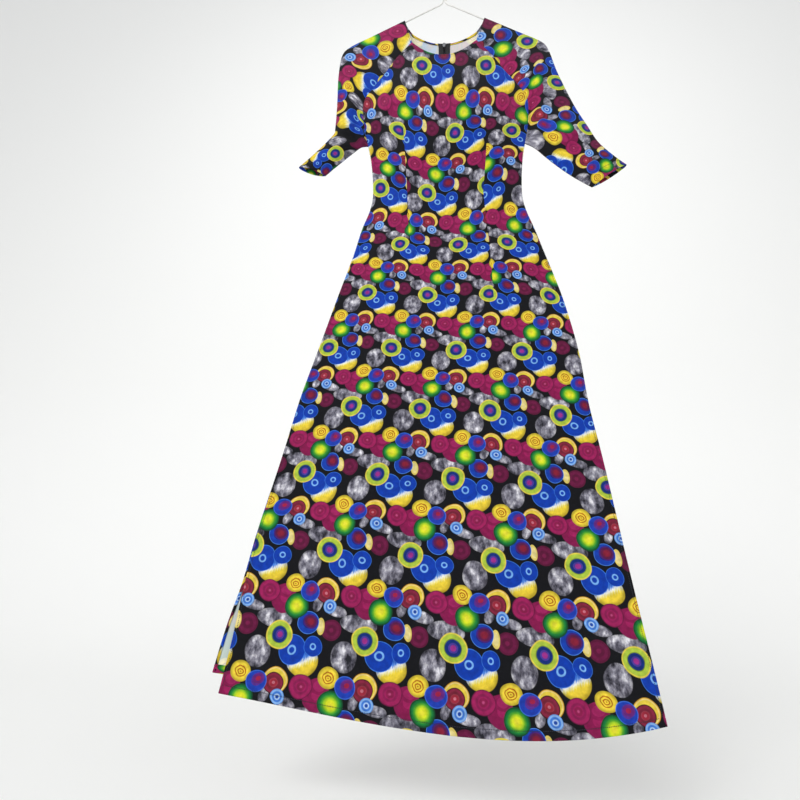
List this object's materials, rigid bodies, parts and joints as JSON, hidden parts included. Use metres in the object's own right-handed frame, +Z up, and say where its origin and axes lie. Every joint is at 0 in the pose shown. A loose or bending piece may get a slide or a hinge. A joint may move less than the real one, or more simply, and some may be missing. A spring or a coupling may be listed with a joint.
{
  "type": "ao dai tunic on a wire hanger",
  "caption": "Long raglan-sleeved tunic with a round neck, centre-back zip and side slits, hanging flat on a coated wire hanger.",
  "frame": {"origin": "inside top of the hanger's hook, where a rail carries it", "axes": "+Z up, the front faces -Y, +X to the wearer's left"},
  "size_m": [0.6974, 0.0621, 1.5104],
  "materials": {
    "printed_crepe": "smooth stretch crepe, printed all over, paler on the wrong side",
    "zip_tape": "black woven tape",
    "zip_metal": "grey lacquered zinc",
    "coated_wire": "white plastic-coated steel wire"
  },
  "bodies": {
    "tunic": {"front_panel": "printed_crepe", "back_left": "printed_crepe", "back_right": "printed_crepe", "sleeve_left": "printed_crepe", "sleeve_right": "printed_crepe", "zip_tape_left": "zip_tape", "zip_tape_right": "zip_tape", "zip_slider": "zip_metal", "hanger": "coated_wire"},
    "pull_tab": {"zip_pull": "zip_metal"}
  },
  "joints": [
    {"name": "pull_hinge", "type": "hinge", "parent": "tunic", "child": "pull_tab", "pos_m": [0, 0.0253, -0.1892], "axis": [1, 0, 0], "range_deg": [0, 170]}
  ]
}
